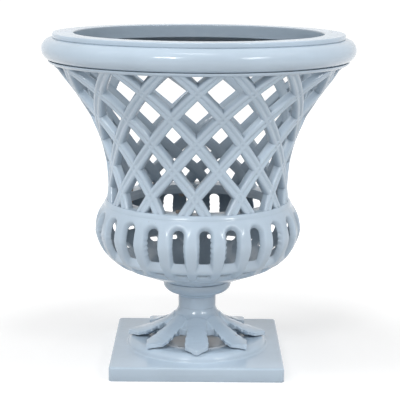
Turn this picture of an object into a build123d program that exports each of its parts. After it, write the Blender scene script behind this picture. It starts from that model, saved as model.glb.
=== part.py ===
from build123d import *
import os
from math import atan, cos, hypot, radians, sin

# An openwork cast-iron garden urn. Millimetres, Z up, floor at zero, front towards -Y.

# Plinth: a square tray, open below
PLINTH_SIDE = 280.0
PLINTH_HEIGHT = 23.0
PLINTH_CORNER = 6.0
PLINTH_EDGE = 3.0
PLINTH_WALL = 11.0
PLINTH_PLATE = 9.0

# Raised ring on the plinth
RING_HEIGHT = 13.0
RING_OUTSIDE = 116.5
RING_CREST_OUTSIDE = 103.0
RING_CREST_INSIDE = 95.0
RING_INSIDE = 66.0
RING_DIP = 2.5
RING_BULGE = 3.7

# Leaf foot
FOOT_HEIGHT = 52.0
NECK_RADIUS = 31.2
NECK_HOLLOW = 2.2
HUB_RADIUS = 56.0
HUB_HOLLOW = 24.0
HUB_PLATE = 14.0
LEAF_COUNT = 8
LEAF_REACH = 115.5
LEAF_THICKNESS = 10.0
LEAF_BEND = 50.0
LEAF_BEND_RISE = 30.5
LEAF_CREST = 112.0
LEAF_CREST_RISE = 6.5
LEAF_HOLLOW = 3.0
LEAF_EDGE = 2.5
LEAF_TOE = 80.0
LEAF_ROOT_HALF = 10.2
LEAF_TEETH = 4
LEAF_FIRST_TOOTH = 64.0
LEAF_FIRST_HALF = 17.2
LEAF_SHOULDER = 99.0
LEAF_SHOULDER_HALF = 19.5
LEAF_NOTCH = 1.8
LEAF_END = 107.5
LEAF_END_HALF = 9.5
LEAF_END_BULGE = 1.5

# Stem and its saucer
STEM_HEIGHT = 32.0
STEM_STRAIGHT = 19.5
SAUCER_NECK_RADIUS = 36.0
SAUCER_NECK_RISE = 4.5
SAUCER_RADIUS = 56.0
SAUCER_RISE = 11.0
SAUCER_BULGE = 4.2
SAUCER_EDGE = 4.5
SAUCER_ROUND = 1.3
SAUCER_DISH = 1.5

# Bowl
BOWL_HEIGHT = 144.5
BOWL_BOSS_RADIUS = 34.0
BOWL_BOSS_HEIGHT = 5.0
SOCLE_RADIUS = 124.0
SOCLE_RISE = 41.0
BELLY_RADIUS = 170.5
BELLY_RISE = 102.0
BELLY_BULGE = 9.8
BOWL_TOP_RADIUS = 155.0
SHOULDER_BULGE = 3.8
BOWL_WALL = 9.0
SLOT_COUNT = 24
SLOT_WIDTH = 21.0
SLOT_LOW = 67.0
SLOT_HIGH = 134.5
VENT_WIDTH = 18.0
VENT_LENGTH = 15.0
VENT_CORNER = 4.0
VENT_REACH = 138.7
VENT_RISE = 49.5
VENT_DIP = 54.0
BOWL_TURN = 4.3

# Basket: crossing straps between a ring below and a band above
BASKET_HEIGHT = 236.5
BASKET_RING_HEIGHT = 7.5
WAIST_INSET = 6.5
WAIST_RADIUS = BOWL_TOP_RADIUS - WAIST_INSET
WAIST_RISE = 37.0
BAND_HEIGHT = 5.0
BAND_RADIUS = 239.0
BAND_TOP_RADIUS = 242.5
BASKET_WALL = 14.0
STRAP_COUNT = 14
STRAP_WIDTH = 18.0
STRAP_ROWS = 7
STRAP_FIRST_CROSSING = 30.7
STRAP_FIRST_SWAY = 2.8
STRAP_STEP = 38.4
STRAP_STEP_SWAY = 3.6
STRAP_BURIED_LOW = 24.5
STRAP_EVEN_ROW = 3
STRAP_DRIFT = 1.75
STRAP_TWIST = 0.35
CUT_OUTSIDE = 25.0
CUT_INSIDE = 30.0
BASKET_TURN = -1.6

# Bolted flange between bowl and basket
FLANGE_WIDTH = 35.0
FLANGE_RADIUS = BOWL_TOP_RADIUS - FLANGE_WIDTH
FLANGE_THICKNESS = 8.0
BOLT_COUNT = 7
BOLT_INSET = 27.0
BOLT_CIRCLE = BOWL_TOP_RADIUS - BOLT_INSET
BOLT_DIAMETER = 6.0
BOLT_CLEARANCE = 0.3
BOLT_FLATS = 10.0
BOLT_HEAD = 4.0
BOLT_NUT = 5.0
BOLT_END = 2.0

# Rim: a rolled ring under a flat lip, a channel open to the inside
ROLL_RADIUS = 17.8
ROLL_CIRCLE = 236.2
MOUTH_RADIUS = 202.2
MOUTH_HEIGHT = 43.5
LIP_ROUND = 2.0
RIM_WALL = 8.0
SKIRT_HEIGHT = 22.0
ROLL_BACK = 226.0
ROLL_HOLLOW_HEIGHT = 18.0
DOWEL_COUNT = 7
DOWEL_CIRCLE = 231.0
DOWEL_DIAMETER = 5.0
DOWEL_CLEARANCE = 0.1
DOWEL_LENGTH = 8.0

# Tie rod, nuts and washers
ROD_DIAMETER = 16.0
ROD_CLEARANCE = 1.0
THREAD_GAP = 0.05
NUT_FLATS = 24.0
NUT_HEIGHT = 13.0
THIN_NUT_HEIGHT = 8.0
WASHER_DIAMETER = 44.0
WASHER_HEIGHT = 3.0
ROD_END_LOW = 1.5
ROD_END_HIGH = 6.0

# Levels that follow from the sizes
plinth_top = PLINTH_HEIGHT
ring_top = plinth_top + RING_HEIGHT
foot_top = ring_top + FOOT_HEIGHT
stem_top = foot_top + STEM_HEIGHT
bowl_top = stem_top + BOWL_HEIGHT
basket_top = bowl_top + BASKET_HEIGHT
mouth_level = basket_top + MOUTH_HEIGHT
bore_radius = ROD_DIAMETER / 2 + ROD_CLEARANCE


def turned(*corners):
    """A solid turned about Z from (radius, height) corners; a third value bulges the edge that ends there."""
    edges = []
    for start, end in zip(corners[-1:] + corners[:-1], corners):
        if len(end) == 3:
            edges.append(SagittaArc(start[:2], end[:2], end[2]))
        else:
            edges.append(Line(start[:2], end[:2]))
    return revolve(Plane.XZ * make_face(edges), Axis.Z)


def tube(outer, inner, low, high):
    """A plain ring between two radii and two levels."""
    return turned((inner, low), (outer, low), (outer, high), (inner, high))


def around(count, shape, turn=0.0):
    """Equal copies of a shape about Z."""
    return [Rot(0, 0, turn + 360 * index / count) * shape for index in range(count)]


def upright(radius, low, high, circle=0.0):
    """A vertical cylinder between two levels, standing out along X."""
    height = high - low
    return Pos(circle, 0, low) * Cylinder(radius, height, align=(Align.CENTER, Align.CENTER, Align.MIN))


def hexagon(flats, low, high, circle=0.0):
    """A hexagonal prism between two levels, standing out along X."""
    outline = RegularPolygon(flats / 2, 6, major_radius=False)
    return Pos(circle, 0, low) * extrude(outline, high - low)


def make_plinth():
    slab = extrude(RectangleRounded(PLINTH_SIDE, PLINTH_SIDE, PLINTH_CORNER), PLINTH_HEIGHT)
    slab = fillet(slab.faces().sort_by(Axis.Z)[-1].edges(), PLINTH_EDGE)
    inner = PLINTH_SIDE - 2 * PLINTH_WALL
    hollow = extrude(Rectangle(inner, inner), PLINTH_HEIGHT - PLINTH_PLATE)
    ring = turned(
        (RING_INSIDE, plinth_top),
        (RING_OUTSIDE, plinth_top),
        (RING_CREST_OUTSIDE, ring_top, -RING_BULGE),
        (RING_CREST_INSIDE, ring_top),
        (RING_INSIDE, ring_top - RING_DIP),
    )
    bore = upright(bore_radius, 0, ring_top)
    return slab + ring - hollow - bore


def leaf_outline():
    """Plan of one leaf along X: toothed edges that widen to a shoulder, then close to a point."""
    side = [(HUB_RADIUS / 2, LEAF_ROOT_HALF)]
    for tooth in range(LEAF_TEETH):
        part = tooth / (LEAF_TEETH - 1)
        reach = LEAF_FIRST_TOOTH + part * (LEAF_SHOULDER - LEAF_FIRST_TOOTH)
        half = LEAF_FIRST_HALF + part * (LEAF_SHOULDER_HALF - LEAF_FIRST_HALF)
        side += [(reach, half), (reach + LEAF_NOTCH, half - LEAF_NOTCH)]
    end = (LEAF_END, LEAF_END_HALF)
    far_side = [(reach, -half) for reach, half in side]
    far_end = (LEAF_END, -LEAF_END_HALF)
    tip = (LEAF_REACH, 0)
    return make_face([
        Polyline(*side),
        SagittaArc(side[-1], end, LEAF_END_BULGE),
        SagittaArc(end, tip, -LEAF_END_BULGE),
        SagittaArc(tip, far_end, -LEAF_END_BULGE),
        SagittaArc(far_end, far_side[-1], LEAF_END_BULGE),
        Polyline(*far_side),
        Line(far_side[0], side[0]),
    ])


def make_leaf_foot():
    """A bell that hollows down to the ring, trimmed to a hub and its leaves."""
    bend_level = ring_top + LEAF_BEND_RISE
    plate_low = foot_top - HUB_PLATE
    bell = turned(
        (bore_radius, plate_low),
        (HUB_HOLLOW, plate_low),
        (LEAF_BEND - LEAF_THICKNESS / 2, bend_level - LEAF_THICKNESS),
        (LEAF_TOE, ring_top, -LEAF_HOLLOW / 2),
        (LEAF_REACH, ring_top),
        (LEAF_REACH, ring_top + LEAF_EDGE),
        (LEAF_CREST, ring_top + LEAF_CREST_RISE),
        (LEAF_BEND, bend_level, LEAF_HOLLOW),
        (NECK_RADIUS, foot_top, NECK_HOLLOW),
        (bore_radius, foot_top),
    )
    plan = Circle(HUB_RADIUS) + around(LEAF_COUNT, leaf_outline())
    return bell & (Pos(0, 0, ring_top) * extrude(plan, FOOT_HEIGHT))


def make_stem():
    neck_level = foot_top + STEM_STRAIGHT
    saucer_top = stem_top + SAUCER_RISE
    return turned(
        (bore_radius, foot_top),
        (NECK_RADIUS, foot_top),
        (NECK_RADIUS, neck_level),
        (SAUCER_NECK_RADIUS, neck_level + SAUCER_NECK_RISE),
        (SAUCER_RADIUS, saucer_top - SAUCER_EDGE, -SAUCER_BULGE),
        (SAUCER_RADIUS - SAUCER_EDGE, saucer_top, -SAUCER_ROUND),
        (BOWL_BOSS_RADIUS, stem_top, SAUCER_DISH),
        (bore_radius, stem_top),
    )


def make_slot():
    """An arched slot cutter that points out along X."""
    low = stem_top + SLOT_LOW
    arch_base = stem_top + SLOT_HIGH - SLOT_WIDTH / 2
    straight = Pos(0, (low + arch_base) / 2) * Rectangle(SLOT_WIDTH, arch_base - low)
    arch = Pos(0, arch_base) * Circle(SLOT_WIDTH / 2)
    inside = FLANGE_RADIUS + BOLT_FLATS
    return Pos(inside, 0, 0) * extrude(Plane.YZ * (straight + arch), BELLY_RADIUS - inside + BOWL_WALL)


def make_vent():
    """A cutter square to the lower wall, for the small opening under each slot."""
    dip = radians(VENT_DIP)
    place = Plane(origin=(VENT_REACH, 0, stem_top + VENT_RISE), x_dir=(0, 1, 0), z_dir=(cos(dip), 0, -sin(dip)))
    return place * extrude(RectangleRounded(VENT_WIDTH, VENT_LENGTH, VENT_CORNER), 2 * BOWL_WALL, both=True)


def make_bowl():
    boss_top = stem_top + BOWL_BOSS_HEIGHT
    socle_level = stem_top + SOCLE_RISE
    belly_level = stem_top + BELLY_RISE
    slope = (socle_level - boss_top) / (SOCLE_RADIUS - BOWL_BOSS_RADIUS)
    lift = BOWL_WALL * hypot(1, slope)
    flange_low = bowl_top - FLANGE_THICKNESS
    shell = turned(
        (bore_radius, stem_top),
        (BOWL_BOSS_RADIUS, stem_top),
        (BOWL_BOSS_RADIUS, boss_top),
        (SOCLE_RADIUS, socle_level),
        (BELLY_RADIUS, belly_level, -BELLY_BULGE),
        (BOWL_TOP_RADIUS, bowl_top, -SHOULDER_BULGE),
        (FLANGE_RADIUS, bowl_top),
        (FLANGE_RADIUS, flange_low),
        (BOWL_TOP_RADIUS - BOWL_WALL, flange_low),
        (BELLY_RADIUS - BOWL_WALL, belly_level, SHOULDER_BULGE),
        (SOCLE_RADIUS, socle_level + lift, BELLY_BULGE),
        (BOWL_BOSS_RADIUS, boss_top + lift),
        (bore_radius, boss_top + lift),
    )
    front = BOWL_TURN - 90
    bolt_hole = upright(BOLT_DIAMETER / 2 + BOLT_CLEARANCE, flange_low, bowl_top, BOLT_CIRCLE)
    openings = around(SLOT_COUNT, make_slot(), front) + around(SLOT_COUNT, make_vent(), front)
    return shell - openings - around(BOLT_COUNT, bolt_hole)


# Basket wall and the places where its straps cross
band_low = basket_top - BAND_HEIGHT
basket_ring_top = bowl_top + BASKET_RING_HEIGHT
waist_level = bowl_top + WAIST_RISE
flare = (BAND_RADIUS - WAIST_RADIUS) / (band_low - waist_level) ** 2


def wall_radius(level):
    """Outer radius of the basket wall."""
    return WAIST_RADIUS + flare * (level - waist_level) ** 2


def wall_slope(level):
    """Growth of the wall's radius with height."""
    return 2 * flare * (level - waist_level)


def crossing(row, place):
    """Angle from the front and level of a strap crossing; rows lie closer at the back than at the front."""
    even = 360 / STRAP_COUNT * (place + (row + 1) % 2 / 2)
    sway = cos(radians(even))
    first = STRAP_FIRST_CROSSING + STRAP_FIRST_SWAY * sway
    step = first + STRAP_BURIED_LOW
    if row > 1:
        step = STRAP_STEP + STRAP_STEP_SWAY * sway
    drift = STRAP_DRIFT * (row - STRAP_EVEN_ROW) * sin(radians(2 * even))
    return even - drift + STRAP_TWIST * (row - 1), bowl_top + first + (row - 1) * step


def inset(points, distance):
    """A convex outline, listed anticlockwise, moved inwards by a distance."""
    moved = []
    for before, here, after in zip(points[-1:] + points[:-1], points, points[1:] + points[:1]):
        first = (Vector(*here) - Vector(*before)).normalized()
        second = (Vector(*after) - Vector(*here)).normalized()
        spread = first.cross(second).Z
        corner = Vector(*here) + (second - first) * (distance / spread)
        moved.append((corner.X, corner.Y))
    return moved


def opening_cutter(row, place):
    """A prism square to the wall through one opening, centred on a row between two crossings."""
    shift = row % 2
    corners = [
        crossing(row + 1, place),
        crossing(row, place + shift - 1),
        crossing(row - 1, place),
        crossing(row, place + shift),
    ]
    middle = (corners[1][0] + corners[3][0]) / 2
    low = max(corners[2][1], basket_ring_top)
    high = min(corners[0][1], band_low)
    centre = (low + high) / 2
    reach = wall_radius(centre)
    dip = atan(wall_slope(centre))
    tangent = Plane(origin=(0, -reach, centre), x_dir=(1, 0, 0), z_dir=(0, -cos(dip), -sin(dip)))
    outline = []
    for angle, level in corners:
        radius = wall_radius(level)
        turn = radians(angle - middle)
        corner = tangent.to_local_coords(Vector(radius * sin(turn), -radius * cos(turn), level))
        outline.append((corner.X, corner.Y))
    faces = []
    for depth in (CUT_OUTSIDE, -CUT_INSIDE):
        scale = (reach + depth * cos(dip)) / reach
        points = [Vector(scale * across, up, depth) for across, up in inset(outline, STRAP_WIDTH / 2)]
        faces.append(make_face(Polyline(*[tangent.from_local_coords(point) for point in points], close=True)))
    return Rot(0, 0, middle + BASKET_TURN) * loft(faces, ruled=True)


def make_basket():
    step = (band_low - basket_ring_top) / STRAP_ROWS
    levels = [basket_ring_top + part * step for part in range(STRAP_ROWS + 1)]
    outside = [(wall_radius(z), z) for z in levels]
    inside = [(wall_radius(z) - BASKET_WALL * hypot(1, wall_slope(z)), z) for z in levels]
    wall_face = make_face([
        Spline(*outside),
        Line(outside[-1], inside[-1]),
        Spline(*inside),
        Line(inside[0], outside[0]),
    ])
    cutters = [
        opening_cutter(row, place)
        for row in range(STRAP_ROWS + 1)
        for place in range(STRAP_COUNT)
        if crossing(row - 1, place)[1] < band_low
    ]
    lattice = revolve(Plane.XZ * wall_face, Axis.Z) - cutters
    ring = turned(
        (FLANGE_RADIUS, bowl_top),
        (BOWL_TOP_RADIUS, bowl_top),
        outside[0],
        (FLANGE_RADIUS, basket_ring_top),
    )
    band = turned(inside[-1], outside[-1], (BAND_TOP_RADIUS, basket_top), (ROLL_BACK, basket_top))
    bolt_hole = upright(BOLT_DIAMETER / 2 + BOLT_CLEARANCE, bowl_top, basket_ring_top, BOLT_CIRCLE)
    dowel_low = basket_top - DOWEL_LENGTH / 2
    dowel_hole = upright(DOWEL_DIAMETER / 2 + DOWEL_CLEARANCE, dowel_low, basket_top, DOWEL_CIRCLE)
    bolted_ring = ring - around(BOLT_COUNT, bolt_hole)
    drilled_band = band - around(DOWEL_COUNT, dowel_hole)
    return lattice + bolted_ring + drilled_band


def make_rim():
    roll_top = basket_top + 2 * ROLL_RADIUS
    roof_low = mouth_level - RIM_WALL
    hollow_low = basket_top + (2 * ROLL_RADIUS - ROLL_HOLLOW_HEIGHT) / 2
    hollow_high = hollow_low + ROLL_HOLLOW_HEIGHT
    body = turned(
        (ROLL_BACK, basket_top),
        (ROLL_CIRCLE, basket_top),
        (ROLL_CIRCLE, roll_top, -ROLL_RADIUS),
        (ROLL_CIRCLE, mouth_level),
        (MOUTH_RADIUS, mouth_level),
        (MOUTH_RADIUS, mouth_level - SKIRT_HEIGHT),
        (MOUTH_RADIUS + RIM_WALL, mouth_level - SKIRT_HEIGHT),
        (MOUTH_RADIUS + RIM_WALL, roof_low),
        (ROLL_BACK, roof_low),
        (ROLL_BACK, hollow_high),
        (ROLL_CIRCLE, hollow_high),
        (ROLL_CIRCLE, hollow_low),
        (ROLL_BACK, hollow_low),
    )
    dowel_high = basket_top + DOWEL_LENGTH / 2
    dowel_hole = upright(DOWEL_DIAMETER / 2 + DOWEL_CLEARANCE, basket_top, dowel_high, DOWEL_CIRCLE)
    lip_edges = body.edges().group_by(Axis.Z)[-1]
    return fillet(lip_edges, LIP_ROUND) - around(DOWEL_COUNT, dowel_hole)


def make_rod_set():
    """Tie rod with a washer and nut above the bowl's floor and below the plinth's plate."""
    slope = (SOCLE_RISE - BOWL_BOSS_HEIGHT) / (SOCLE_RADIUS - BOWL_BOSS_RADIUS)
    floor = stem_top + BOWL_BOSS_HEIGHT + BOWL_WALL * hypot(1, slope)
    plate_low = plinth_top - PLINTH_PLATE
    washer_top = floor + WASHER_HEIGHT
    washer_low = plate_low - WASHER_HEIGHT
    thread = upright(ROD_DIAMETER / 2 + THREAD_GAP, 0, bowl_top)
    rod_low = washer_low - THIN_NUT_HEIGHT - ROD_END_LOW
    return {
        "tie_rod": upright(ROD_DIAMETER / 2, rod_low, washer_top + NUT_HEIGHT + ROD_END_HIGH),
        "rod_washer_top": tube(WASHER_DIAMETER / 2, bore_radius, floor, washer_top),
        "rod_nut_top": hexagon(NUT_FLATS, washer_top, washer_top + NUT_HEIGHT) - thread,
        "rod_washer_bottom": tube(WASHER_DIAMETER / 2, bore_radius, washer_low, plate_low),
        "rod_nut_bottom": hexagon(NUT_FLATS, washer_low - THIN_NUT_HEIGHT, washer_low) - thread,
    }


def make_flange_set():
    """Bolts through the two flanges, heads above, nuts below, and the dowels under the rim."""
    nut_high = bowl_top - FLANGE_THICKNESS
    nut_low = nut_high - BOLT_NUT
    shank = upright(BOLT_DIAMETER / 2, nut_low - BOLT_END, basket_ring_top, BOLT_CIRCLE)
    bolt = shank + hexagon(BOLT_FLATS, basket_ring_top, basket_ring_top + BOLT_HEAD, BOLT_CIRCLE)
    thread = upright(BOLT_DIAMETER / 2 + THREAD_GAP, nut_low, nut_high, BOLT_CIRCLE)
    nut = hexagon(BOLT_FLATS, nut_low, nut_high, BOLT_CIRCLE) - thread
    half = DOWEL_LENGTH / 2
    dowel = upright(DOWEL_DIAMETER / 2, basket_top - half, basket_top + half, DOWEL_CIRCLE)
    return {
        "flange_bolts": Compound(around(BOLT_COUNT, bolt)),
        "flange_nuts": Compound(around(BOLT_COUNT, nut)),
        "rim_dowels": Compound(around(DOWEL_COUNT, dowel)),
    }


pieces = {
    "plinth": make_plinth(),
    "leaf_foot": make_leaf_foot(),
    "stem": make_stem(),
    "bowl": make_bowl(),
    "basket": make_basket(),
    "rim": make_rim(),
    **make_rod_set(),
    **make_flange_set(),
}

os.makedirs("parts", exist_ok=True)
for name, shape in pieces.items():
    export_step(shape, f"parts/{name}.step")
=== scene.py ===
from math import atan, atan2, cos, hypot, pi, radians, sin

import bmesh
import bpy
from mathutils import Matrix, Vector


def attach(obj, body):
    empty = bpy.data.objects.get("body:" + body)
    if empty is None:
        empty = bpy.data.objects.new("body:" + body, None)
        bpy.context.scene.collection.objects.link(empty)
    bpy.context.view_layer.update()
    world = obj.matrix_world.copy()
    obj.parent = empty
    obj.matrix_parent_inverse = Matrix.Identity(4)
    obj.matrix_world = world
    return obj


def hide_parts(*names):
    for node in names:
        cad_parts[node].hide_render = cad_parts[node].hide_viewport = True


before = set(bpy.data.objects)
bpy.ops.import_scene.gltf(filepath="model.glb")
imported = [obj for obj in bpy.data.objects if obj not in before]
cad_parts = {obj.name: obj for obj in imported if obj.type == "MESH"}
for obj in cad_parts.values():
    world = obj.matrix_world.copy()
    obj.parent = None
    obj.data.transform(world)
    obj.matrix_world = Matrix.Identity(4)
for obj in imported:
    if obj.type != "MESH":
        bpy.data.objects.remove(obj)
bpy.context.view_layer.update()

# Millimetres, in the frame of the solids: Z up, floor at zero, front towards -Y
MM = 0.001
TURN = 2 * pi

# Levels of the joints between the castings
PLINTH_TOP = 23.0
RING_TOP = 36.0
FOOT_TOP = 88.0
STEM_TOP = 120.0
BOWL_TOP = 264.5
BASKET_RING_TOP = 272.0
BAND_LOW = 496.0
BASKET_TOP = 501.0
RIM_TOP = 544.5

# Radii that castings share
BORE = 9.0
NECK_RADIUS = 31.2
BOSS_RADIUS = 34.0
FLANGE_RADIUS = 120.0
BOWL_TOP_RADIUS = 155.0
RIM_BACK = 226.0

# Basket wall
WAIST_RADIUS = 148.5
WAIST_LEVEL = 301.5
BAND_RADIUS = 239.0
FLARE = (BAND_RADIUS - WAIST_RADIUS) / (BAND_LOW - WAIST_LEVEL) ** 2
BAND_SHARP = 38

# Straps: levels of their crossings, and in degrees how these are shifted around the basket
STRAP_COUNT = 14
FIRST_CROSSING = 296.5
FIRST_SWAY = 1.5
ROW_STEP = 37.3
STEP_SWAY = 4.7
BURIED_CROSSING = 240.0
EVEN_ROW = 3
STRAP_DRIFT = 1.75
STRAP_TWIST = 0.35
BACK_SPREAD = 6.5
BACK_EASE = 1.6
BASKET_TURN = -0.4
TURN_SWAY = -1.2
STRAP_STEPS = 84
LOW_ROW = 0.38
HIGH_ROW = 7.2
ROW_NUDGE = 0.01
STRAP_BACK = 10.0
BACK_TRIM = 0.6
# Half section of a strap, (across, depth): two low reeds on a rounded face
REED = [
    (0.0, 1.6), (0.9, 1.4), (1.8, 0.8), (2.8, 0.2), (4.0, 0.0), (5.3, 0.1), (6.5, 0.5), (7.6, 1.3),
    (8.5, 2.5), (9.0, 4.0), (9.3, 6.0), (9.5, STRAP_BACK), (9.4, 12.2), (8.6, 13.4), (7.0, 14.0),
]
# What the straps are cut to: inner and outer radius, lower and upper level
STRAP_NEAR = 100.0
STRAP_FAR = 320.0
STRAP_LOW = 266.0
STRAP_HIGH = 498.6
CUT_SEGMENTS = 64

# Bowl
SLOT_COUNT = 24
BOWL_TURN = 4.3
BOWL_WALL = 9.0
BOWL_FOOT = 125.0
BOWL_FLOOR = 134.693
SOCLE = (124.0, 161.0)
BELLY = (170.5, 222.0)
BELLY_BULGE = 9.8
BELLY_STEPS = 24
SHOULDER_BULGE = 3.8
SHOULDER_STEPS = 16
BOWL_EDGE = (155.4, 263.4)
FLANGE_THICKNESS = 8.0
FLANGE_LOW = BOWL_TOP - FLANGE_THICKNESS
FLANGE_ROOT = 146.0
BOWL_SHARP = 46
UNDER_PARTS = 12
LOOP_PARTS = 20

# Bowl's bays: levels where slots and vents begin and end
VENT_EDGE = 157.0
SLOT_EDGE = 179.5
TOP_EDGE = 261.0
INNER_TOP_EDGE = 255.5
SLOT_FOOT_ROUND = 2.5
VENT_LOW_ROUND = 5.5
VENT_HIGH_ROUND = 1.2
# Loops through the wall as (half width, low, high, depth), from the outside in
SLOT_STEPS = [
    (16.4, 180.4, 259.6, 0.0), (15.0, 181.4, 258.4, 0.2), (13.9, 182.4, 257.4, 0.7),
    (13.0, 183.4, 256.6, 1.5), (12.3, 184.6, 255.9, 2.6), (10.6, 187.6, 254.6, 5.2),
    (9.6, 189.8, 253.8, 7.2), (9.0, 191.0, 253.4, 8.2), (9.0, 191.4, 253.4, BOWL_WALL),
    (10.0, 190.4, 254.2, BOWL_WALL + 0.3),
]
VENT_STEPS = [
    (13.4, 158.6, 177.6, 0.0), (12.2, 159.8, 176.8, 0.3), (11.4, 160.8, 176.2, 1.0),
    (10.8, 162.0, 175.8, 2.0), (10.0, 163.8, 175.2, 3.0), (9.2, 165.0, 174.4, 3.8),
    (8.8, 165.6, 174.0, 5.0), (8.8, 165.6, 174.0, BOWL_WALL),
]

# Unevenness of the ribs' inner edges: waves per millimetre and per rib, in radians, and where they fade
WAVE_LEAST = 0.25
WAVE_CHANGE = 2.4
COARSE_WAVE = 0.62
COARSE_SHIFT = 1.7
FINE_WAVE = 1.35
FINE_SHIFT = 3.1
FINE_SHARE = 0.5
WAVE_DEPTH = 1.5
WAVE_DEPTH_FADE = 4.0
WAVE_LOW = 4.0
WAVE_HIGH = 10.0
WAVE_FADE = 8.0

# Leaf foot: tables run over the distance from the axis
LEAF_COUNT = 8
LEAF_REACH = 115.5
LEAF_SPLIT = 56.0
LEAF_SHOULDER = 97.5
LEAF_TOE = 80.0
LEAF_EDGE = 7.0
TOOTH_STEP = 11.2
TOOTH_DEPTH = 1.8
TOOTH_BACK = 0.15
NECK_TOP_RADIUS = 30.9
HOLLOW_RADIUS = 24.0
HOLLOW_TOP = 74.0
HOLLOW_EDGE = 50.0
LEAF_SHARP = 50
UNDER_FACING = -0.1
CREST = [
    (NECK_RADIUS, 87.4), (31.6, 85.6), (32.6, 83.6), (34.0, 81.6), (36.0, 79.4), (38.2, 77.2), (41.0, 74.4),
    (45.0, 70.6), (50.0, 66.6), (LEAF_SPLIT, 63.2), (62, 60.2), (70, 56.3), (78, 52.5), (86, 49.4),
    (95, 47.0), (102, 45.8), (108, 45.0), (112, 44.4), (114.2, 43.6), (LEAF_REACH, 42.0),
]
BLADE_SHARE = [(40, 0.97), (45, 0.85), (50, 0.78), (LEAF_SPLIT, 0.715)]
BLADE_HALF = [(LEAF_SPLIT, 15.0), (66, 16.8), (78, 18.4), (90, 19.0), (LEAF_SHOULDER, 17.8)]
BLADE_END = [(LEAF_SHOULDER, 18.7), (101, 15.4), (105, 11.4), (109, 7.4), (113, 3.2), (LEAF_REACH, 0.0)]
DROP = [(36, 0.6), (45, 1.0), (LEAF_SPLIT, 1.4), (70, 1.8), (95, 1.8), (LEAF_REACH, 0.0)]
DROP_POWER = 2.2
UNDERSIDE = [(LEAF_SPLIT, HOLLOW_EDGE), (LEAF_TOE, RING_TOP)]

# Relief on the leaves: arched step at the root, sunk web, bevelled edge, middle vein
ROOT_REACH = 36.5
ROOT_ARCH = 3.5
ROOT_RUN = 2.0
ROOT_DEPTH = 1.5
NECK_END = 31.5
NECK_FADE = 4.0
WEB_DEPTH = 1.6
WEB_SLOPE = 0.35
WEB_START = 40.0
WEB_FADE = 8.0
BEVEL_DEPTH = 0.9
BEVEL_SHARE = 0.12
VEIN_DEPTH = 0.4
VEIN_SHARE = 0.12
VEIN_END = 104.0
VEIN_FADE = 20.0
RELIEF_FADE = 6.0
STRAIGHT_FADE = 12.0
TIP_FADE = 8.0

# Grid of a leaf: shares of the web, parts of half a blade, rows outwards
WEB_SHARES = (0.15, 0.35, 0.65, 1.0)
HALF_BLADE = (0.2, 0.4, 0.6, 0.78, 0.9, 0.97, 1)
NECK_ROWS = [NECK_RADIUS, 31.6, 32.4, 33.4, 34.4]
BELL_START = 35.2
BELL_STEP = 0.8
BELL_ROWS = 26
BLADE_ROWS = 70

# Stem
STEM_SEGMENTS = 128

# Rim: radii and levels of the lip, the channel inside and the roll
LIP_EDGE = 236.2
LIP_INSIDE = 202.2
LIP_BACK = 210.2
LIP_FOOT = 537.6
LIP_UNDER = 536.5
LIP_LOW = 522.5
CHANNEL_HIGH = 527.8
CHANNEL_LOW = 509.8
ROLL_TOP = 536.6
ROLL_BULGE = 17.8
ROLL_STEPS = 32
ROLL_END = (235.8, 536.7)
RIM_SEGMENTS = 240

# Plinth
PLINTH_HALF = 140.0
PLINTH_CORNER = 6.0
PLINTH_ROUND = 3.0
PLINTH_ROUND_TURNS = (15, 30, 45, 60, 75)
PLINTH_INSET = 0.6
PLINTH_INSET_RISE = 0.8
PLINTH_SIDE_TOP = 19.8
PLATE_EDGE = 132.0
PLATE_LOW = 14.0
HOLLOW_HALF = 129.0
HOLLOW_CORNER = 1.0
BARE_RADIUS = 65.8
FINE_CORNER = 41

# Colours
ENAMEL = (0.47, 0.57, 0.67)
ENAMEL_PALE = 1.05
ENAMEL_DEEP = 0.93
# Colour of the painted shade laid in creases
CREASE_SHADE = (0.22, 0.26, 0.29)
# Colour of the painted shade laid in sheltered places and on faces looking inwards
PAINTED_SHADE = (0.15, 0.19, 0.23)
RUST = (0.16, 0.085, 0.045)
IRON = (0.12, 0.085, 0.06)
IRON_RUST = (0.22, 0.12, 0.065)
STEEL = (0.28, 0.27, 0.26)
STEEL_RUST = (0.17, 0.11, 0.07)
FLOOR_DARK = 0.61
FLOOR_PALE = 0.63

# Studio, in metres and watts; the floor's glow is given as (distance from the urn, strength)
FLOOR_HALF = 30.0
GLOW_NEAR = (0.35, 0.5)
GLOW_FAR = (1.0, 1.0)
WORLD_LIGHT = 0.14
LAMP_AIM = (0, 0, 0.3)
# Lamps as (name, place, width, height, power, whether the enamel mirrors it)
LAMPS = [
    ("left", (-1.64, -0.44, 2.0), 1.0, 1.0, 28, False),
    ("right", (1.64, -0.44, 2.0), 1.0, 1.0, 23, False),
    ("low_fill", (0, -3.2, 0.3), 2.4, 0.5, 18, False),
    ("key", (-1.0, -2.4, 1.9), 0.7, 0.4, 20, True),
    ("fill", (1.7, -2.0, 1.7), 0.6, 0.4, 14, True),
    ("top", (-0.1, -0.9, 2.6), 0.8, 0.2, 5, True),
]
CAMERA_PLACE = (0.00367, -2.0646, 0.6791)
CAMERA_LENS = 114.2
CAMERA_SENSOR = 36.0
CAMERA_RANGE = 100.0
CAMERA_PITCH = radians(11.263)
CAMERA_ROLL = radians(0.433)


# Helpers for shapes

def ease(value):
    """Smooth step from zero to one."""
    value = min(1.0, max(0.0, value))
    return value * value * (3 - 2 * value)


def between(table, place):
    """Straight interpolation in a table of (place, value)."""
    if place <= table[0][0]:
        return table[0][1]
    for start, end in zip(table, table[1:]):
        if place <= end[0]:
            return start[1] + (end[1] - start[1]) * (place - start[0]) / (end[0] - start[0])
    return table[-1][1]


def spot(radius, angle, height):
    """A point from radius, angle from the front in radians, and height."""
    return radius * sin(angle), -radius * cos(angle), height


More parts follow.
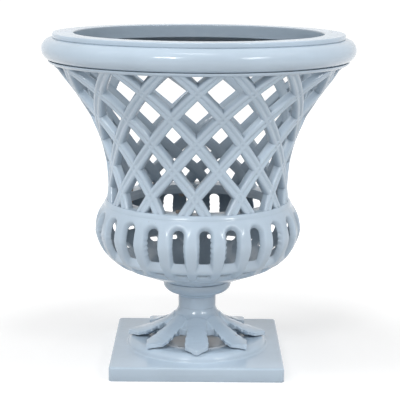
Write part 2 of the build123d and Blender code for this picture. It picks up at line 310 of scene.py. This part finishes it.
def rounded(corners, steps=5):
    """A closed outline from (radius, height, rounding) corners, each rounding turned into a curve."""
    outline = []
    count = len(corners)
    for index, (radius, height, rounding) in enumerate(corners):
        if not rounding:
            outline.append((radius, height))
            continue
        ends = []
        for near in (corners[index - 1], corners[(index + 1) % count]):
            across, up = near[0] - radius, near[1] - height
            scale = rounding / hypot(across, up)
            ends.append((radius + across * scale, height + up * scale))
        for step in range(steps + 1):
            part = step / steps
            weights = ((1 - part) ** 2, 2 * part * (1 - part), part ** 2)
            trio = (ends[0], (radius, height), ends[1])
            outline.append(tuple(sum(w * p[axis] for w, p in zip(weights, trio)) for axis in (0, 1)))
    return outline


def arc(start, end, bulge, steps):
    """Points from start up to but not including end, on an arc that bulges to the right by a height."""
    across, up = end[0] - start[0], end[1] - start[1]
    chord = hypot(across, up)
    size = (chord ** 2 / 4 + bulge ** 2) / (2 * bulge)
    reach = bulge - size
    centre_across = (start[0] + end[0]) / 2 + up / chord * reach
    centre_up = (start[1] + end[1]) / 2 - across / chord * reach
    first = atan2(start[1] - centre_up, start[0] - centre_across)
    sweep = 4 * atan2(2 * bulge, chord)
    turns = [first + sweep * step / steps for step in range(steps)]
    return [(centre_across + abs(size) * cos(turn), centre_up + abs(size) * sin(turn)) for turn in turns]


def closed_rows(count, size):
    """Point numbers of a grid with size points in each of its rows, every row closed by its first point."""
    return [[*range(row * size, (row + 1) * size), row * size] for row in range(count)]


def strips(rows):
    """Quads between neighbouring rows of point numbers."""
    return [
        (row[index], row[index + 1], beyond[index + 1], beyond[index])
        for row, beyond in zip(rows, rows[1:])
        for index in range(len(row) - 1)
    ]


def mesh_object(name, points, faces, smooth_angle=40):
    """A mesh object from points in millimetres; edges sharper than the angle stay sharp."""
    mesh = bpy.data.meshes.new(name)
    mesh.from_pydata([(x * MM, y * MM, z * MM) for x, y, z in points], [], faces)
    shape = bmesh.new()
    shape.from_mesh(mesh)
    bmesh.ops.remove_doubles(shape, verts=shape.verts, dist=0.02 * MM)
    bmesh.ops.recalc_face_normals(shape, faces=shape.faces)
    shape.to_mesh(mesh)
    shape.free()
    mesh.shade_smooth()
    mesh.set_sharp_from_angle(angle=radians(smooth_angle))
    made = bpy.data.objects.new(name, mesh)
    bpy.context.scene.collection.objects.link(made)
    return made


def turned(name, outline, segments=160):
    """A closed ring turned about Z from a closed (radius, height) outline."""
    points = []
    for segment in range(segments):
        points += [spot(radius, TURN * segment / segments, height) for radius, height in outline]
    rows = closed_rows(segments, len(outline))
    return mesh_object(name, points, strips(rows + rows[:1]))


def joined(base, others, operation="UNION"):
    """One closed mesh from overlapping closed meshes."""
    for other in others:
        boolean = base.modifiers.new("boolean", "BOOLEAN")
        boolean.operation = operation
        boolean.solver = "MANIFOLD"
        boolean.object = other
    bpy.context.view_layer.update()
    evaluated = base.evaluated_get(bpy.context.evaluated_depsgraph_get())
    mesh = bpy.data.meshes.new_from_object(evaluated)
    base.modifiers.clear()
    base.data = mesh
    for other in others:
        bpy.data.objects.remove(other)
    return base


# Basket of crossing straps

def wall_radius(level):
    """Outer radius of the basket wall."""
    return WAIST_RADIUS + FLARE * (level - WAIST_LEVEL) ** 2


def strap_place(place, lean, row):
    """Angle from the front in degrees and level of one strap at a row; rows lie closer at the back."""
    even = 360 / STRAP_COUNT * (place + lean * (row + 1) / 2)
    sway = cos(radians(even))
    first = FIRST_CROSSING + FIRST_SWAY * sway
    step = ROW_STEP + STEP_SWAY * sway if row > 1 else first - BURIED_CROSSING
    spread = BACK_SPREAD * ease(-BACK_EASE * sway) - STRAP_DRIFT * (row - EVEN_ROW)
    turn = BASKET_TURN + TURN_SWAY * sway + STRAP_TWIST * (row - 1)
    return even + spread * sin(radians(2 * even)) + turn, first + (row - 1) * step


def strap(place, lean, trim):
    """One strap along the flared wall; the trim keeps the backs of crossing straps apart."""
    section = [(-across, depth) for across, depth in reversed(REED[1:])] + REED
    points = []
    for step in range(STRAP_STEPS + 1):
        row = LOW_ROW + (HIGH_ROW - LOW_ROW) * step / STRAP_STEPS
        angle, level = strap_place(place, lean, row)
        next_angle, next_level = strap_place(place, lean, row + ROW_NUDGE)
        run_across = wall_radius(level) * radians(next_angle - angle)
        run_up = hypot(next_level - level, wall_radius(next_level) - wall_radius(level))
        length = hypot(run_up, run_across)
        dip = atan(2 * FLARE * (level - WAIST_LEVEL))
        for across, depth in section:
            height = level - across * run_across / length * cos(dip)
            turn = radians(angle) + across * run_up / length / wall_radius(level)
            sunk = depth if depth < STRAP_BACK else depth - trim
            points.append(spot(wall_radius(height) - sunk * cos(dip), turn, height + sunk * sin(dip)))
    rows = closed_rows(STRAP_STEPS + 1, len(section))
    ends = [tuple(row[:-1]) for row in (rows[0], rows[-1])]
    return mesh_object("strap", points, ends + strips(rows))


def make_basket():
    band = turned("basket_lattice", rounded([
        (RIM_BACK, BASKET_TOP, 0), (243.6, BASKET_TOP, 0.4), (243.4, 498.6, 1.5), (240.0, 495.8, 1.5),
        (224.0, 495.2, 1.5), (221.0, 497.5, 1.5),
    ]))
    ring = turned("ring", rounded([
        (FLANGE_RADIUS, BOWL_TOP, 0), (BOWL_TOP_RADIUS, BOWL_TOP, 0), (154.7, 266.2, 0.8),
        (153.6, 269.0, 1.5), (151.2, 272.2, 1.2), (136.0, 272.4, 1.5), (132.0, BASKET_RING_TOP, 1),
        (FLANGE_RADIUS, BASKET_RING_TOP, 1.5),
    ]))
    straps = []
    for place in range(STRAP_COUNT):
        straps.append(strap(place, 1, 0.0))
        straps.append(strap(place, -1, BACK_TRIM))
    limits = [
        (STRAP_NEAR, STRAP_LOW), (STRAP_FAR, STRAP_LOW), (STRAP_FAR, STRAP_HIGH), (STRAP_NEAR, STRAP_HIGH),
    ]
    trimmed = joined(joined(straps[0], straps[1:]), [turned("limits", limits, CUT_SEGMENTS)], "INTERSECT")
    lattice = joined(band, [trimmed, ring])
    lattice.data.shade_smooth()
    lattice.data.set_sharp_from_angle(angle=radians(BAND_SHARP))
    return lattice


# Bowl with arched slots and small openings below them

BOWL_LINE = (
    [(BOSS_RADIUS, BOWL_FOOT)]
    + arc(SOCLE, BELLY, BELLY_BULGE, BELLY_STEPS)
    + arc(BELLY, (BOWL_TOP_RADIUS, BOWL_TOP), SHOULDER_BULGE, SHOULDER_STEPS)
    + [(BOWL_TOP_RADIUS, BOWL_TOP)]
)


def on_bowl(height, depth=0.0):
    """Radius and height on the bowl's outside at a height, moved inwards along its normal."""
    for start, end in zip(BOWL_LINE, BOWL_LINE[1:]):
        if start[1] <= height <= end[1]:
            part = (height - start[1]) / (end[1] - start[1])
            across, up = end[0] - start[0], end[1] - start[1]
            radius = start[0] + part * across
            length = hypot(across, up)
            return radius - depth * up / length, height + depth * across / length
    raise ValueError(height)


def hole_loop(half, low, high, low_round, high_round):
    """Outline of a hole as (across, height), anticlockwise from its lower left corner."""
    def rise(across, rounding):
        past = max(0.0, abs(across) - half + rounding)
        return rounding - max(0.0, rounding ** 2 - past ** 2) ** 0.5

    spread = [half * cos(pi * part / LOOP_PARTS) for part in range(LOOP_PARTS)]
    side_low, side_high = low + low_round, high - high_round
    climb = [(side_high - side_low) * part / LOOP_PARTS for part in range(LOOP_PARTS)]
    loop = [(-across, low + rise(across, low_round)) for across in spread]
    loop += [(half, side_low + up) for up in climb]
    loop += [(across, high - rise(across, high_round)) for across in spread]
    loop += [(-half, side_high - up) for up in climb]
    return loop


def bay_loop(bay, low, high, depth):
    """Edge of one bay as (radius, angle, height), with the same count of points as a hole's outline."""
    sweep = [2 * bay * part / LOOP_PARTS for part in range(LOOP_PARTS)]
    climb = [(high - low) * part / LOOP_PARTS for part in range(LOOP_PARTS)]
    loop = [(-bay + turn, low) for turn in sweep] + [(bay, low + up) for up in climb]
    loop += [(bay - turn, high) for turn in sweep] + [(-bay, high - up) for up in climb]
    placed = []
    for angle, height in loop:
        radius, level = on_bowl(height, depth)
        placed.append((radius, angle, level))
    return placed


def wavy_edge(slot, height, side):
    """Unevenness of a rib's inner edge, stronger on some ribs than on others."""
    strength = WAVE_LEAST + (1 - WAVE_LEAST) * (0.5 + 0.5 * sin(slot * WAVE_CHANGE + side)) ** 2
    coarse = sin(height * COARSE_WAVE + slot * COARSE_SHIFT + side)
    fine = sin(height * FINE_WAVE + slot * FINE_SHIFT)
    return strength * (coarse + FINE_SHARE * fine)


def slot_loops(bay, slot):
    """Loops from the edge of a bay through its slot to the inside."""
    loops = [bay_loop(bay, SLOT_EDGE, TOP_EDGE, 0.0)]
    for half, low, high, depth in SLOT_STEPS:
        ring = []
        for across, height in hole_loop(half, low, high, SLOT_FOOT_ROUND, half):
            radius, level = on_bowl(height, depth)
            fade = ease((depth - WAVE_DEPTH) / WAVE_DEPTH_FADE)
            fade *= ease((height - low - WAVE_LOW) / WAVE_FADE)
            fade *= ease((high - height - WAVE_HIGH) / WAVE_FADE)
            wave = wavy_edge(slot, height, 1 if across > 0 else -1) * fade
            ring.append((radius, (across + wave) / on_bowl(height)[0], level))
        loops.append(ring)
    return loops + [bay_loop(bay, SLOT_EDGE, INNER_TOP_EDGE, BOWL_WALL)]


def vent_loops(bay):
    """Loops from the edge of a bay through the small opening under its slot to the inside."""
    loops = [bay_loop(bay, VENT_EDGE, SLOT_EDGE, 0.0)]
    for half, low, high, depth in VENT_STEPS:
        ring = []
        for across, height in hole_loop(half, low, high, VENT_LOW_ROUND, VENT_HIGH_ROUND):
            radius, level = on_bowl(height, depth)
            ring.append((radius, across / on_bowl(height)[0], level))
        loops.append(ring)
    return loops + [bay_loop(bay, VENT_EDGE, SLOT_EDGE, BOWL_WALL)]


def make_bowl():
    bay = pi / SLOT_COUNT
    points = []
    faces = []

    def add_loop(loop, turn):
        first = len(points)
        points.extend(spot(radius, angle + turn, level) for radius, angle, level in loop)
        return list(range(first, len(points)))

    heights = [BOWL_FOOT + (VENT_EDGE - BOWL_FOOT) * part / UNDER_PARTS for part in range(UNDER_PARTS + 1)]
    under = [(BORE, STEM_TOP), (BOSS_RADIUS - 1, STEM_TOP), (BOSS_RADIUS, STEM_TOP + 1)]
    under += [on_bowl(height) for height in heights]
    inside = [(BORE, STEM_TOP), (BORE, BOWL_FLOOR), (BOSS_RADIUS, BOWL_FLOOR)]
    inside += [on_bowl(height, BOWL_WALL) for height in heights[2:]]
    crown = [on_bowl(TOP_EDGE), BOWL_EDGE, (BOWL_TOP_RADIUS, BOWL_TOP), (FLANGE_RADIUS, BOWL_TOP)]
    crown += [(FLANGE_RADIUS, FLANGE_LOW), (FLANGE_ROOT, FLANGE_LOW), on_bowl(INNER_TOP_EDGE, BOWL_WALL)]
    angles = [-bay + 2 * bay * part / LOOP_PARTS for part in range(LOOP_PARTS + 1)]
    for slot in range(SLOT_COUNT):
        turn = radians(BOWL_TURN) + TURN * slot / SLOT_COUNT
        for loops in (slot_loops(bay, slot), vent_loops(bay)):
            rings = [add_loop(loop, turn) for loop in loops]
            faces += strips([ring + ring[:1] for ring in rings])
        for line in (under, inside, crown):
            rows = [add_loop([(radius, angle, level) for angle in angles], turn) for radius, level in line]
            faces += strips(rows)
    return mesh_object("bowl_casting", points, faces, BOWL_SHARP)


# Foot of eight leaves

def half_width(reach):
    """Half the width of a leaf at a distance from the axis, with its teeth."""
    if reach <= LEAF_SPLIT:
        return between(BLADE_SHARE, reach) * reach * pi / LEAF_COUNT
    if reach > LEAF_SHOULDER:
        return between(BLADE_END, reach)
    phase = (reach - LEAF_SHOULDER) / TOOTH_STEP % 1
    rise = 1 - phase / TOOTH_BACK if phase < TOOTH_BACK else (phase - TOOTH_BACK) / (1 - TOOTH_BACK)
    return between(BLADE_HALF, reach) + TOOTH_DEPTH * (rise - 0.5)


def leaf_place(reach, part, share):
    """Place in plan on one leaf along X: part runs across the blade, share from its edge over the web."""
    half = half_width(reach)
    across = part * (half + (reach * pi / LEAF_COUNT - half) * share)
    blend = ease((reach - LEAF_SPLIT) / STRAIGHT_FADE)
    arched = (reach * cos(across / reach), reach * sin(across / reach))
    return tuple(a + (b - a) * blend for a, b in zip(arched, (reach, across)))


def leaf_level(reach, part, share):
    """Level of the upper face: rounded blades that start in an arched step and stand above the web."""
    side = abs(part)
    root = ease((reach - ROOT_REACH - ROOT_ARCH * part ** 2) / ROOT_RUN)
    level = between(CREST, reach) - between(DROP, reach) * side ** DROP_POWER
    level -= ROOT_DEPTH * (1 - root) * ease((reach - NECK_END) / NECK_FADE)
    level -= WEB_DEPTH * ease(share / WEB_SLOPE) * ease((reach - WEB_START) / WEB_FADE)
    free = ease((reach - LEAF_SPLIT) / RELIEF_FADE) * ease((LEAF_REACH - reach) / RELIEF_FADE)
    level -= free * BEVEL_DEPTH * ease((side - 1 + BEVEL_SHARE) / BEVEL_SHARE)
    level -= free * VEIN_DEPTH * (1 - ease(side / VEIN_SHARE)) * ease((VEIN_END - reach) / VEIN_FADE)
    return level


def under_level(reach, part):
    """Level of the under face: a blade rests on the ring along its middle and is thin at its edges."""
    low = between(UNDERSIDE, reach)
    lift = between(CREST, reach) - LEAF_EDGE - low
    fade = ease((reach - LEAF_SPLIT) / STRAIGHT_FADE) * ease((LEAF_REACH - reach) / TIP_FADE)
    return low + lift * part ** 2 * fade


def make_leaf():
    """Points and faces of one leaf along X, with its share of the bell above the leaves."""
    web = len(WEB_SHARES)
    leaf = [(part, 0.0) for part in [-half for half in reversed(HALF_BLADE)] + [0, *HALF_BLADE]]
    columns = [(-1, share) for share in reversed(WEB_SHARES)] + leaf + [(1, share) for share in WEB_SHARES]
    bell = NECK_ROWS + [BELL_START + BELL_STEP * step for step in range(BELL_ROWS)] + [LEAF_SPLIT]
    blade = [LEAF_SPLIT + (LEAF_REACH - LEAF_SPLIT) * step / BLADE_ROWS for step in range(1, BLADE_ROWS + 1)]
    points = []

    def add_row(row):
        first = len(points)
        points.extend(row)
        return list(range(first, len(points)))

    def flat_row(radius, level):
        return add_row([(*leaf_place(radius, *column), level) for column in columns])

    def upper_row(reach, kept):
        return add_row([(*leaf_place(reach, *column), leaf_level(reach, *column)) for column in kept])

    def lower_row(reach, kept):
        return add_row([(*leaf_place(reach, *column), under_level(reach, column[0])) for column in kept])

    over_bell = [flat_row(BORE, FOOT_TOP), flat_row(NECK_TOP_RADIUS, FOOT_TOP)]
    over_bell += [upper_row(reach, columns) for reach in bell]
    under_bell = [lower_row(LEAF_SPLIT, columns)]
    under_bell += [flat_row(radius, HOLLOW_TOP) for radius in (HOLLOW_RADIUS, BORE)]
    under_bell.append(over_bell[0])
    over = [over_bell[-1][web:-web]] + [upper_row(reach, leaf) for reach in blade]
    under = [under_bell[0][web:-web]] + [lower_row(reach, leaf) for reach in blade]
    faces = strips(over_bell) + strips(under_bell) + strips(over) + strips(under)
    for part in (slice(0, web + 1), slice(-web - 1, None)):
        faces += strips([over_bell[-1][part], under_bell[0][part]])
    for end in (0, -1):
        faces += strips([[row[end] for row in over], [row[end] for row in under]])
    return points, faces


def make_leaf_foot():
    leaf_points, leaf_faces = make_leaf()
    points = []
    faces = []
    for index in range(LEAF_COUNT):
        turn = TURN * index / LEAF_COUNT
        first = len(points)
        for x, y, z in leaf_points:
            points.append((x * cos(turn) - y * sin(turn), x * sin(turn) + y * cos(turn), z))
        faces += [tuple(first + corner for corner in face) for face in leaf_faces]
    made = mesh_object("foot_of_leaves", points, faces, LEAF_SHARP)
    for face in made.data.polygons:
        if face.normal.z < UNDER_FACING:
            face.material_index = 1
    return made


# Stem, rim and plinth

def make_stem():
    outline = rounded([
        (BORE, FOOT_TOP, 0), (NECK_RADIUS, FOOT_TOP, 0.8), (NECK_RADIUS, 106.8, 0.6), (32.4, 108.2, 0.6),
        (35.6, 112.0, 2.5), (49.0, 116.0, 4), (55.6, 122.6, 4), (56.4, 128.0, 2), (55.7, 133.4, 1.2),
        (52.6, 132.3, 0.6), (43.8, 124.2, 4), (BOSS_RADIUS, STEM_TOP, 0), (BORE, STEM_TOP, 0),
    ])
    return turned("stem_column", outline, STEM_SEGMENTS)


def make_rim():
    lip = rounded([
        (LIP_EDGE, LIP_FOOT, 0.6), (LIP_EDGE, RIM_TOP, 2.2), (LIP_INSIDE, RIM_TOP, 2.2),
        (LIP_INSIDE, LIP_LOW, 1.2), (LIP_BACK, LIP_LOW, 1.2), (LIP_BACK, LIP_UNDER, 0),
        (RIM_BACK, LIP_UNDER, 0), (RIM_BACK, CHANNEL_HIGH, 0), (LIP_EDGE, CHANNEL_HIGH, 0),
        (LIP_EDGE, CHANNEL_LOW, 0), (RIM_BACK, CHANNEL_LOW, 0),
    ])
    roll = arc((LIP_EDGE, BASKET_TOP), (LIP_EDGE, ROLL_TOP), ROLL_BULGE, ROLL_STEPS)
    return turned("rim_roll", [(RIM_BACK, BASKET_TOP)] + roll + [ROLL_END] + lip, RIM_SEGMENTS)


def square_reach(half, corner, angle):
    """Distance from the axis to the edge of a rounded square, at an angle from the front."""
    turn = (angle + pi / 4) % (pi / 2) - pi / 4
    straight = half / cos(turn)
    middle = half - corner
    if abs(straight * sin(turn)) <= middle:
        return straight
    lean = pi / 4 - abs(turn)
    along = middle * 2 ** 0.5 * cos(lean)
    aside = middle * 2 ** 0.5 * sin(lean)
    return along + (corner ** 2 - aside ** 2) ** 0.5


def plinth_squares():
    """Square loops of the plinth, (half side, level, corner), from the hollow below to the top."""
    middle = PLINTH_HALF - PLINTH_ROUND
    inset = PLINTH_HALF - PLINTH_INSET
    squares = [(HOLLOW_HALF, PLATE_LOW, HOLLOW_CORNER), (HOLLOW_HALF, 0.0, HOLLOW_CORNER)]
    squares += [(inset, 0.0, PLINTH_CORNER - PLINTH_INSET), (PLINTH_HALF, PLINTH_INSET_RISE, PLINTH_CORNER)]
    squares.append((PLINTH_HALF, PLINTH_SIDE_TOP, PLINTH_CORNER))
    for degrees in PLINTH_ROUND_TURNS:
        across = PLINTH_ROUND * cos(radians(degrees))
        up = PLINTH_ROUND * sin(radians(degrees))
        squares.append((middle + across, PLINTH_TOP - PLINTH_ROUND + up, PLINTH_CORNER))
    return squares + [(middle, PLINTH_TOP, PLINTH_CORNER), (PLATE_EDGE, PLINTH_TOP, PLINTH_CORNER)]


def plinth_ring():
    """Round loops of the plinth, (radius, level): over the raised ring to the bore."""
    ring = [(121.0, PLINTH_TOP), (119.0, 23.2), (117.6, 23.9), (116.8, 25.2)]
    ring += arc((116.4, 26.0), (103.5, RING_TOP), 3.0, 12)
    ring += [(103.5, RING_TOP), (95.0, RING_TOP), (90.0, 35.7), (80.0, 34.7), (68.0, 33.7), (66.5, 33.2)]
    ring += [(66.0, 32.4), (65.4, 24.6), (64.0, 23.2), (60.0, PLINTH_TOP)]
    return ring + [(BORE, PLINTH_TOP), (BORE, PLATE_LOW)]


def make_plinth():
    """Square tray with the raised ring, as loops about the axis from the hollow below to the bore."""
    angles = []
    for quarter in range(4):
        for degree in range(-45, 45):
            angles.append(radians(90 * quarter + degree))
            if abs(degree) > FINE_CORNER:
                angles.append(radians(90 * quarter + degree + 0.5))
    loops = []
    for half, level, corner in plinth_squares():
        loops.append([(square_reach(half, corner, angle), level) for angle in angles])
    loops += [[place] * len(angles) for place in plinth_ring()]
    points = [spot(radius, angle, level) for loop in loops for angle, (radius, level) in zip(angles, loop)]
    rows = closed_rows(len(loops), len(angles))
    made = mesh_object("plinth_tray", points, strips(rows + rows[:1]))
    for face in made.data.polygons:
        if hypot(face.center.x, face.center.y) < BARE_RADIUS * MM:
            face.material_index = 1
    return made


def piece(shape, node):
    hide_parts(node)
    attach(shape, "root")
    return shape


basket = piece(make_basket(), "basket")
bowl = piece(make_bowl(), "bowl")
foot = piece(make_leaf_foot(), "leaf_foot")
stem = piece(make_stem(), "stem")
rim = piece(make_rim(), "rim")
plinth = piece(make_plinth(), "plinth")


# Materials

def ramp(tree, source, stops):
    """A grey ramp fed from a value socket; stops are (place, level)."""
    made = tree.nodes.new("ShaderNodeValToRGB")
    while len(made.color_ramp.elements) < len(stops):
        made.color_ramp.elements.new(0.5)
    for element, (place, level) in zip(made.color_ramp.elements, stops):
        element.position = place
        element.color = (level, level, level, 1)
    tree.links.new(source, made.inputs["Fac"])
    return made.outputs["Color"]


def mix(tree, amount, first, second):
    """A colour mix, by a socket, of two sockets or plain colours."""
    made = tree.nodes.new("ShaderNodeMix")
    made.data_type = "RGBA"
    tree.links.new(amount, made.inputs["Factor"])
    for socket, value in ((made.inputs["A"], first), (made.inputs["B"], second)):
        if isinstance(value, bpy.types.NodeSocket):
            tree.links.new(value, socket)
        else:
            socket.default_value = (*value, 1)
    return made.outputs["Result"]


def plain_tree(name):
    """A material with a principled shader, and the place on the object to lay patterns by."""
    material = bpy.data.materials.new(name)
    material.use_nodes = True
    tree = material.node_tree
    tree.nodes.clear()
    output = tree.nodes.new("ShaderNodeOutputMaterial")
    shader = tree.nodes.new("ShaderNodeBsdfPrincipled")
    tree.links.new(shader.outputs["BSDF"], output.inputs["Surface"])
    place = tree.nodes.new("ShaderNodeTexCoord").outputs["Object"]
    return material, tree, shader, place


def noise(tree, place, scale, detail=3.0, roughness=0.5):
    made = tree.nodes.new("ShaderNodeTexNoise")
    made.inputs["Scale"].default_value = scale
    made.inputs["Detail"].default_value = detail
    made.inputs["Roughness"].default_value = roughness
    tree.links.new(place, made.inputs["Vector"])
    return made.outputs["Fac"]


def worked(tree, kind, operation, *sources):
    """A math or vector math node fed from sockets."""
    made = tree.nodes.new(kind)
    made.operation = operation
    for socket, source in zip(made.inputs, sources):
        tree.links.new(source, socket)
    return made


def shelter(tree, distance, only_local):
    """How open a face lies: 1 in the open, 0 where everything within the distance is closed off."""
    made = tree.nodes.new("ShaderNodeAmbientOcclusion")
    made.only_local = only_local
    made.inputs["Distance"].default_value = distance
    made.samples = 8
    return made.outputs["AO"]


def bump(tree, height, strength, distance):
    made = tree.nodes.new("ShaderNodeBump")
    made.inputs["Strength"].default_value = strength
    made.inputs["Distance"].default_value = distance
    tree.links.new(height, made.inputs["Height"])
    return made


def inward(tree, place):
    """How far a face looks towards the axis of the urn: 1 inside, 0 on top, below 0 outside."""
    normal = tree.nodes.new("ShaderNodeTexCoord").outputs["Normal"]
    flat = worked(tree, "ShaderNodeVectorMath", "MULTIPLY", place)
    flat.inputs[1].default_value = (-1, -1, 0)
    unit = worked(tree, "ShaderNodeVectorMath", "NORMALIZE", flat.outputs["Vector"])
    facing = worked(tree, "ShaderNodeVectorMath", "DOT_PRODUCT", unit.outputs["Vector"], normal)
    return facing.outputs["Value"]


def enamel(name):
    """Thick glossy enamel: soft drift of tone, painted shade in creases, in sheltered places and on faces
    looking inwards, rust, a wavy skin.
    """
    material, tree, shader, place = plain_tree(name)
    pale = tuple(share * ENAMEL_PALE for share in ENAMEL)
    deep = tuple(share * ENAMEL_DEEP for share in ENAMEL)
    drift = ramp(tree, noise(tree, place, scale=9), [(0.3, 0.0), (0.7, 1.0)])
    tone = mix(tree, drift, deep, pale)
    # Painted shade: darker where occlusion within 12 mm is high, in creases and seams
    crease_shade = ramp(tree, shelter(tree, distance=0.012, only_local=False), [(0.2, 0.22), (0.6, 0.0)])
    tone = mix(tree, crease_shade, tone, CREASE_SHADE)
    # Painted shade: darker where the urn closes itself off within 45 cm, mostly inside the basket
    sheltered_shade = ramp(tree, shelter(tree, distance=0.45, only_local=True), [(0.3, 0.55), (0.8, 0.0)])
    tone = mix(tree, sheltered_shade, tone, PAINTED_SHADE)
    # Painted shade: darker on faces that look towards the axis, such as the inner wall of the lip
    inside = ramp(tree, inward(tree, place), [(0.2, 0.0), (0.7, 0.5)])
    tone = mix(tree, inside, tone, PAINTED_SHADE)
    specks = ramp(tree, noise(tree, place, scale=55, detail=4, roughness=0.6), [(0.70, 0.0), (0.76, 1.0)])
    patches = ramp(tree, noise(tree, place, scale=7, detail=2), [(0.55, 0.0), (0.68, 1.0)])
    rust = worked(tree, "ShaderNodeMath", "MULTIPLY", specks, patches)
    tree.links.new(mix(tree, rust.outputs["Value"], tone, RUST), shader.inputs["Base Color"])
    gloss = ramp(tree, noise(tree, place, scale=38), [(0.3, 0.12), (0.75, 0.24)])
    tree.links.new(gloss, shader.inputs["Roughness"])
    wave = bump(tree, noise(tree, place, scale=42, detail=2), strength=0.35, distance=0.0016)
    skin = bump(tree, noise(tree, place, scale=420, detail=2), strength=0.08, distance=0.0004)
    tree.links.new(wave.outputs["Normal"], skin.inputs["Normal"])
    tree.links.new(skin.outputs["Normal"], shader.inputs["Normal"])
    shader.inputs["Specular IOR Level"].default_value = 0.55
    return material


def bare_iron(name, bright, rusty):
    """Old iron: dark metal under uneven rust."""
    material, tree, shader, place = plain_tree(name)
    blotch = ramp(tree, noise(tree, place, scale=60, detail=5, roughness=0.65), [(0.35, 0.0), (0.65, 1.0)])
    tree.links.new(mix(tree, blotch, bright, rusty), shader.inputs["Base Color"])
    dullness = ramp(tree, noise(tree, place, scale=90), [(0.3, 0.55), (0.7, 0.85)])
    tree.links.new(dullness, shader.inputs["Roughness"])
    grain = bump(tree, noise(tree, place, scale=300, detail=4), strength=0.4, distance=0.0008)
    tree.links.new(grain.outputs["Normal"], shader.inputs["Normal"])
    return material


coat = enamel("grey_blue_enamel")
iron = bare_iron("rusty_iron", IRON, IRON_RUST)
steel = bare_iron("dull_steel", STEEL, STEEL_RUST)
for shape in (basket, bowl, stem, rim, foot, plinth):
    shape.data.materials.clear()
    shape.data.materials.append(coat)
for shape in (foot, plinth):
    shape.data.materials.append(iron)
for name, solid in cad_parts.items():
    finish = coat if name in ("plinth", "leaf_foot", "stem", "bowl", "basket", "rim") else steel
    for slot in solid.material_slots:
        slot.material = finish


# Floor, light and camera

def in_view(tree, hidden, shown):
    """A strength as seen, directly, mirrored or through glass, and another for all other light."""
    path = tree.nodes.new("ShaderNodeLightPath")
    seen = path.outputs["Is Camera Ray"]
    for name in ("Is Glossy Ray", "Is Transmission Ray"):
        seen = worked(tree, "ShaderNodeMath", "MAXIMUM", seen, path.outputs[name]).outputs["Value"]
    level = tree.nodes.new("ShaderNodeMapRange")
    level.inputs["To Min"].default_value = hidden
    level.inputs["To Max"].default_value = shown
    tree.links.new(seen, level.inputs["Value"])
    return level.outputs["Result"]


def add_floor():
    """Pale floor that looks white far from the urn and keeps its shadow near it."""
    mesh = bpy.data.meshes.new("floor")
    corners = [(-1, -1), (1, -1), (1, 1), (-1, 1)]
    mesh.from_pydata([(x * FLOOR_HALF, y * FLOOR_HALF, 0) for x, y in corners], [], [(0, 1, 2, 3)])
    floor = bpy.data.objects.new("floor", mesh)
    bpy.context.scene.collection.objects.link(floor)
    material, tree, shader, place = plain_tree("pale_floor")
    shader.inputs["Roughness"].default_value = 0.9
    shader.inputs["Specular IOR Level"].default_value = 0.0
    shade = ramp(tree, noise(tree, place, scale=3), [(0.0, FLOOR_DARK), (1.0, FLOOR_PALE)])
    tree.links.new(shade, shader.inputs["Base Color"])
    glow = tree.nodes.new("ShaderNodeEmission")
    reach = worked(tree, "ShaderNodeVectorMath", "LENGTH", place)
    tree.links.new(ramp(tree, reach.outputs["Value"], [GLOW_NEAR, GLOW_FAR]), glow.inputs["Color"])
    tree.links.new(in_view(tree, 0.0, 1.0), glow.inputs["Strength"])
    both = tree.nodes.new("ShaderNodeAddShader")
    tree.links.new(shader.outputs["BSDF"], both.inputs[0])
    tree.links.new(glow.outputs["Emission"], both.inputs[1])
    output = next(node for node in tree.nodes if node.type == "OUTPUT_MATERIAL")
    tree.links.new(both.outputs["Shader"], output.inputs["Surface"])
    mesh.materials.append(material)


def add_world():
    world = bpy.data.worlds.new("studio")
    bpy.context.scene.world = world
    world.use_nodes = True
    tree = world.node_tree
    back = tree.nodes["Background"]
    back.inputs["Color"].default_value = (1, 1, 1, 1)
    tree.links.new(in_view(tree, WORLD_LIGHT, 1.0), back.inputs["Strength"])


def add_lamp(name, place, width, height, power, mirrored):
    data = bpy.data.lights.new(name, "AREA")
    data.shape = "RECTANGLE"
    data.size = width
    data.size_y = height
    data.energy = power
    lamp = bpy.data.objects.new(name, data)
    lamp.location = place
    lamp.rotation_euler = (Vector(LAMP_AIM) - Vector(place)).to_track_quat("-Z", "Y").to_euler()
    lamp.visible_glossy = mirrored
    bpy.context.scene.collection.objects.link(lamp)


def add_camera():
    """Camera of the photo: focal length, height, downward pitch and a slight roll."""
    data = bpy.data.cameras.new("camera")
    data.sensor_width = CAMERA_SENSOR
    data.lens = CAMERA_LENS
    data.clip_end = CAMERA_RANGE
    camera = bpy.data.objects.new("camera", data)
    right = Vector((1, 0, 0))
    up = Vector((0, sin(CAMERA_PITCH), cos(CAMERA_PITCH)))
    back = Vector((0, -cos(CAMERA_PITCH), sin(CAMERA_PITCH)))
    across = right * cos(CAMERA_ROLL) + up * sin(CAMERA_ROLL)
    upright = up * cos(CAMERA_ROLL) - right * sin(CAMERA_ROLL)
    turn = Matrix((across, upright, back)).transposed().to_4x4()
    camera.matrix_world = Matrix.Translation(CAMERA_PLACE) @ turn
    bpy.context.scene.collection.objects.link(camera)
    bpy.context.scene.camera = camera


add_floor()
add_world()
for lamp in LAMPS:
    add_lamp(*lamp)
add_camera()
bpy.context.scene.view_settings.view_transform = "Standard"
